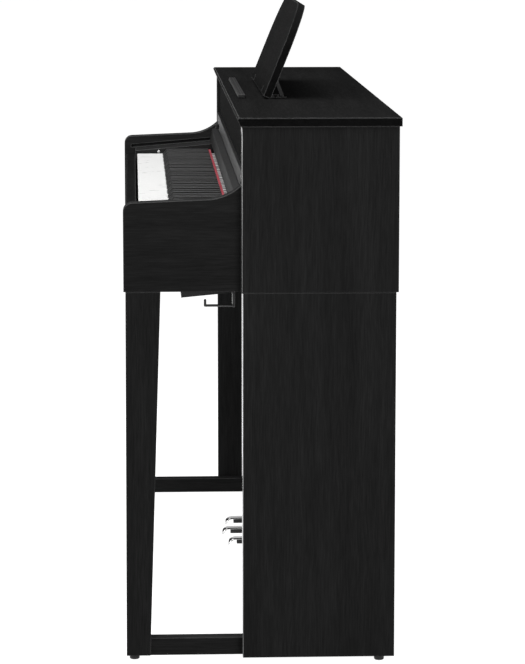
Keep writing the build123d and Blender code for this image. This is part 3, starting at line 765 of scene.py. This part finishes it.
def bed_screws():
    """Screws up through the key bed, and round the tray."""
    low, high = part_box("key_bed")
    places = [(share * high.x * 0.94, high.y - 20 * MM, low.z) for share in (-1, -0.3, 0.3, 1)]
    tray_low, tray_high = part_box("under_tray")
    places += [(share * tray_high.x, tray_low.y - 12 * MM, low.z) for share in (-0.8, -0.4, 0, 0.4, 0.8)]
    grown("bed_screws", SCREWS, places, "stand", "steel",
          Facing=(0, 0, -1), Head_Radius=4 * MM, Head_Height=2.0 * MM, Finish=COATED)


def pedal_box_screws():
    low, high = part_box("pedal_box")
    places = [(side * (high.x - 9 * MM), low.y, up) for side in (-1, 1)
              for up in (low.z + 9 * MM, high.z - 9 * MM)]
    grown("pedal_box_screws", SCREWS, places, "stand", "steel",
          Facing=(0, -1, 0), Head_Radius=2.8 * MM, Head_Height=1.0 * MM, Finish=COATED)


def stand_caps():
    """Caps over the connectors that pull the stand together."""
    low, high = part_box("stand_back_board")
    side_low, side_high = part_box("stand_side_right")
    levels = [low.z + (high.z - low.z) * share for share in (0.14, 0.5, 0.86)]
    rear = [(side * (high.x - 34 * MM), high.y, up) for side in (-1, 1) for up in levels]
    grown("back_board_caps", CAPS, rear, "stand", "moulded_black",
          Facing=(0, 1, 0), Cap_Radius=8 * MM, Cap_Height=1.0 * MM, Finish=PLASTIC)
    for side, label in ((-1, "left"), (1, "right")):
        face = side * side_low.x
        places = [(face, side_low.y + back * MM, side_high.z - 28 * MM) for back in (70, 190)]
        grown("side_caps_" + label, CAPS, places, "stand", "moulded_black",
              Facing=(-side, 0, 0), Cap_Radius=8 * MM, Cap_Height=1.0 * MM, Finish=PLASTIC)


def speaker_grilles():
    low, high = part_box("speakers")
    radius = 62 * MM
    middle_y = (low.y + high.y) / 2
    places = [(side * (high.x - radius), middle_y, low.z) for side in (-1, 1)]
    grown("speaker_grille_holes", GRILLE_HOLES, places, "stand", "black_steel",
          Facing=(0, 0, -1), Grille_Radius=51 * MM, Pitch=5 * MM, Hole_Radius=1.7 * MM,
          Rim_Height=0.5 * MM, Finish=COATED, Cloth=CLOTH)


def lettering(name, words, middle, size):
    """Printed words on an upright face that looks at the player."""
    curve = bpy.data.curves.new(name, "FONT")
    curve.body = words
    curve.size = size
    curve.align_x, curve.align_y = "CENTER", "CENTER"
    curve.extrude = 0.04 * MM
    curve.resolution_u = 3
    holder = put(name + "_line", curve)
    depsgraph = bpy.context.evaluated_depsgraph_get()
    mesh = bpy.data.meshes.new_from_object(holder.evaluated_get(depsgraph), depsgraph=depsgraph)
    bpy.data.objects.remove(holder)
    turn = Matrix.Rotation(radians(90), 4, "X")
    mesh.transform(Matrix.Translation(middle) @ turn)
    mesh.name = name
    return piece(name, mesh, "stand", INK)


def scale_marks(shape, front, middle, half, up):
    """Row of short ticks, taller at both ends and in the middle."""
    for step in range(11):
        x = middle + half * (step / 5 - 1)
        tall = (1.6 if step % 5 == 0 else 0.9) * MM
        eased_block(shape, (x - 0.18 * MM, front - 0.05 * MM, up - tall),
                    (x + 0.18 * MM, front + 0.05 * MM, up + tall), 0.02 * MM)


def corner_bead(shape, corner_x, side, low, high):
    """Rounded glossy arris where the front edge turns into the outer face."""
    radius = 1.25 * MM
    middle = (corner_x - side * 1.2 * MM, low.y + 1.2 * MM)
    rings = []
    for up in (low.z + 1.4 * MM, high.z - 1.4 * MM):
        arc = [(middle[0], middle[1], up)]
        for step in range(9):
            turn = pi / 2 * step / 8
            arc.append((middle[0] + side * radius * sin(turn), middle[1] - radius * cos(turn), up))
        rings.append(arc)
    lofted(shape, rings)


def front_edge_bands():
    """Edge banding on the front edges of the side boards, one strip for each board."""
    for part in ("upper_side", "stand_side"):
        for hand in ("left", "right"):
            low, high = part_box(part + "_" + hand)
            near = (low.x + 1.4 * MM, low.y - 0.3 * MM, low.z + 1.6 * MM)
            far = (high.x - 1.4 * MM, low.y + 0.1 * MM, high.z - 1.6 * MM)
            name = part + "_band_" + hand
            strip = mesh_of(name, lambda shape: eased_block(shape, near, far, 0.12 * MM))
            piece(name, strip, "stand", BANDING)
            side, corner_x = (1, high.x) if hand == "right" else (-1, low.x)
            bead = mesh_of(name + "_bead", lambda shape: corner_bead(shape, corner_x, side, low, high))
            smooth(bead)
            # The bead carries the pale painted highlight along the board's front corner.
            piece(name + "_bead", bead, "stand", PAINTED_ARRIS_HIGHLIGHT)


def panel_printing():
    panel_low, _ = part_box("control_panel")
    front = panel_low.y - 0.03 * MM
    knob = middle_of("volume_knob")
    scale_half = 21 * MM
    lettering("volume_word", "VOLUME", (knob.x, front, knob.z + 12.5 * MM), 5 * MM)
    lettering("low_word", "MIN", (knob.x - scale_half, front, knob.z - 12 * MM), 3.4 * MM)
    lettering("high_word", "MAX", (knob.x + scale_half, front, knob.z - 12 * MM), 3.4 * MM)
    marks = mesh_of("volume_scale", lambda shape: scale_marks(
        shape, front, knob.x, scale_half, knob.z - 7.4 * MM))
    piece("volume_scale", marks, "stand", INK)
    button = middle_of("power_button")
    lettering("power_word", "POWER", (button.x, front, button.z + 12.5 * MM), 5 * MM)


def ring_nut(shape, middle, outer, inner, thickness):
    """Flat ring with knurled sides round a socket, facing the player."""
    count = 36
    rings = []
    profile = ((inner, 0), (inner, thickness), (outer * 0.94, thickness),
               (outer, thickness * 0.55), (outer, 0))
    for radius, forward in profile:
        knurl = 0.97 if radius == outer else 1.0
        ring = []
        for step in range(count):
            turn = 2 * pi * step / count
            reach = radius * (knurl if step % 2 else 1)
            point = (middle[0] + reach * cos(turn), middle[1] - forward, middle[2] + reach * sin(turn))
            ring.append(shape.verts.new(point))
        rings.append(ring)
    for near, far in zip(rings, rings[1:] + rings[:1]):
        for index in range(count):
            after = (index + 1) % count
            shape.faces.new((near[index], near[after], far[after], far[index]))


def phones_fittings():
    low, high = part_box("phones_socket")
    middle_x, middle_z = (low.x + high.x) / 2, (low.z + high.z) / 2
    for offset, label in ((-18, "left"), (18, "right")):
        place = (middle_x + offset * MM, low.y, middle_z)
        ring = mesh_of("socket_ring_" + label, lambda shape: ring_nut(
            shape, place, 5.6 * MM, 3.5 * MM, 1.4 * MM))
        piece("socket_ring_" + label, ring, "stand", STEEL)
    lettering("phones_word", "PHONES", (middle_x, low.y - 0.03 * MM, middle_z + 9 * MM), 3.6 * MM)


def rest_pads():
    """Rubber strips along the top of the lid's ledge that keep the score from sliding."""
    low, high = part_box("music_ledge")

    def strips(shape):
        for back in (3.2, 8.2):
            eased_block(shape, (low.x + 6 * MM, low.y + back * MM, high.z - 0.4 * MM),
                        (high.x - 6 * MM, low.y + (back + 1.6) * MM, high.z + 0.35 * MM), 0.3 * MM)

    piece("ledge_strips", mesh_of("ledge_strips", strips), "stand", RUBBER)


finish_frame()
for pedal in ("pedal_left", "pedal_middle", "pedal_right"):
    chrome_pedal(pedal)
hinge_and_base_screws()
hanger_screws()
cheek_screws()
bed_screws()
pedal_box_screws()
stand_caps()
speaker_grilles()
front_edge_bands()
panel_printing()
phones_fittings()
rest_pads()

set_camera()
set_lights()
set_world()
set_floor()
